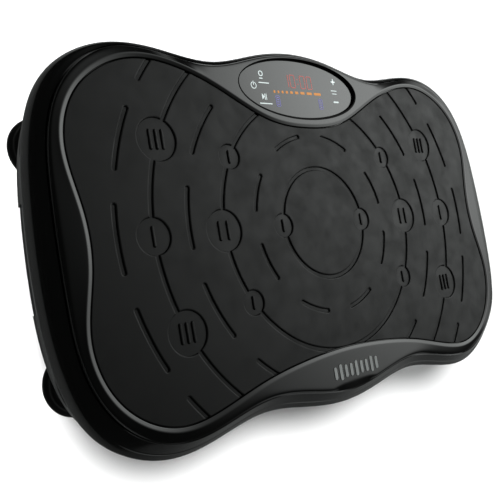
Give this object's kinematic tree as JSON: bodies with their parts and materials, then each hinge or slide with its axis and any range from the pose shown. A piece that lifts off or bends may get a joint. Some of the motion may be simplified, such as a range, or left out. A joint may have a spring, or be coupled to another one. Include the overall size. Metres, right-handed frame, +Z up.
{
  "type": "vibration plate",
  "caption": "Low oscillating exercise plate: contoured gloss shell with a grooved rubber standing mat and oval console, rocking on a base with suction feet.",
  "frame": {"origin": "on the floor under the middle of the plate's outline, at the level of the feet's undersides", "axes": "+X along the plate's length, +Y towards the console end of its width, +Z up from the floor through the standing mat"},
  "size_m": [0.6778, 0.4052, 0.1296],
  "materials": {
    "mat_rubber": "fine moulded satin rubber",
    "shell_gloss": "piano-black gloss, injection moulded",
    "skirt_gloss": "black gloss, injection moulded",
    "bezel_gloss": "deep black gloss",
    "lens_smoked": "smoked acrylic",
    "board_green": "solder-masked fibreglass",
    "led_red": "lit LED segments",
    "ribbon_grey": "flat ribbon cable",
    "steel_painted": "dark grey powder coat",
    "steel_bright": "zinc plated or ground steel",
    "bush_rubber": "black bush",
    "tray_matte": "textured black moulding",
    "foot_rubber": "soft black rubber",
    "cast_green": "painted casting",
    "can_dark": "black oxide steel",
    "alloy": "die-cast and turned alloy",
    "rotor_copper": "steel shaft with a wound armature",
    "belt_rubber": "ribbed belt",
    "core_steel": "varnished laminations",
    "wire_pvc": "sheathed wire",
    "header_white": "nylon connector",
    "inlet_black": "black nylon",
    "rocker_red": "red rocker"
  },
  "bodies": {
    "base": {"base_tray": "tray_matte", "base_plate": "steel_painted", "foot_front_left": "foot_rubber", "foot_front_right": "foot_rubber", "foot_rear_left": "foot_rubber", "foot_rear_right": "foot_rubber", "foot_bolts": "steel_bright", "pivot_stand_front": "steel_painted", "pivot_stand_rear": "steel_painted", "pivot_pins": "steel_bright", "stand_bolts": "steel_bright", "pillow_block_front": "cast_green", "pillow_block_rear": "cast_green", "shaft_bearing_front": "steel_bright", "shaft_bearing_rear": "steel_bright", "pillow_bolts": "steel_bright", "motor_can": "can_dark", "motor_cap_front": "alloy", "motor_cap_rear": "alloy", "motor_magnets": "can_dark", "motor_cradle": "steel_painted", "drive_belt": "belt_rubber", "control_board": "board_green", "heat_sink": "alloy", "transformer": "core_steel", "wire_harness": "wire_pvc", "display_header": "header_white", "power_inlet": "inlet_black", "fuse_holder": "inlet_black", "switch_housing": "inlet_black"},
    "deck": {"mat": "mat_rubber", "top_shell": "shell_gloss", "side_skirt": "skirt_gloss", "console_bezel": "bezel_gloss", "display_lens": "lens_smoked", "display_board": "board_green", "led_display": "led_red", "display_cable": "ribbon_grey", "deck_plate": "steel_painted", "deck_rail_front": "steel_painted", "deck_rail_rear": "steel_painted", "deck_bolts": "steel_bright", "shell_screws": "steel_bright", "skirt_screws": "steel_bright", "pivot_yoke_front": "steel_painted", "pivot_yoke_rear": "steel_painted", "pivot_bush_front": "bush_rubber", "pivot_bush_rear": "bush_rubber", "rod_bracket_front": "steel_painted", "rod_bracket_rear": "steel_painted", "rod_pins": "steel_bright"},
    "drive_shaft": {"drive_shaft": "steel_bright", "driven_pulley": "alloy"},
    "rod_front": {"rod_front": "cast_green", "rod_bearing_front": "steel_bright"},
    "rod_rear": {"rod_rear": "cast_green", "rod_bearing_rear": "steel_bright"},
    "motor_rotor": {"motor_rotor": "rotor_copper", "motor_pulley": "alloy"},
    "rocker": {"rocker_switch": "rocker_red"}
  },
  "joints": [
    {"name": "deck_rock", "type": "hinge", "parent": "base", "child": "deck", "pos_m": [0, 0, 0.08], "axis": [0, 1, 0], "range_deg": [-0.85, 0.85], "stiffness_Nm_per_rad": 2500},
    {"name": "shaft_spin", "type": "hinge", "parent": "base", "child": "drive_shaft", "pos_m": [-0.12, 0, 0.066], "axis": [0, 1, 0], "continuous": true},
    {"name": "rod_front_turn", "type": "hinge", "parent": "drive_shaft", "child": "rod_front", "pos_m": [-0.1182, -0.112, 0.066], "axis": [0, 1, 0], "continuous": true},
    {"name": "rod_rear_turn", "type": "hinge", "parent": "drive_shaft", "child": "rod_rear", "pos_m": [-0.1182, 0.112, 0.066], "axis": [0, 1, 0], "continuous": true},
    {"name": "motor_spin", "type": "hinge", "parent": "base", "child": "motor_rotor", "pos_m": [0.1, 0, 0.066], "axis": [0, 1, 0], "continuous": true},
    {"name": "rocker_tilt", "type": "hinge", "parent": "base", "child": "rocker", "pos_m": [0.144, 0.166, 0.043], "axis": [1, 0, 0], "range_deg": [-14, 0]}
  ],
  "couplings": [
    {"joint": "rod_front_turn", "follows": "shaft_spin", "ratio": -1},
    {"joint": "rod_rear_turn", "follows": "shaft_spin", "ratio": -1},
    {"joint": "motor_spin", "follows": "shaft_spin", "ratio": 2.5}
  ]
}
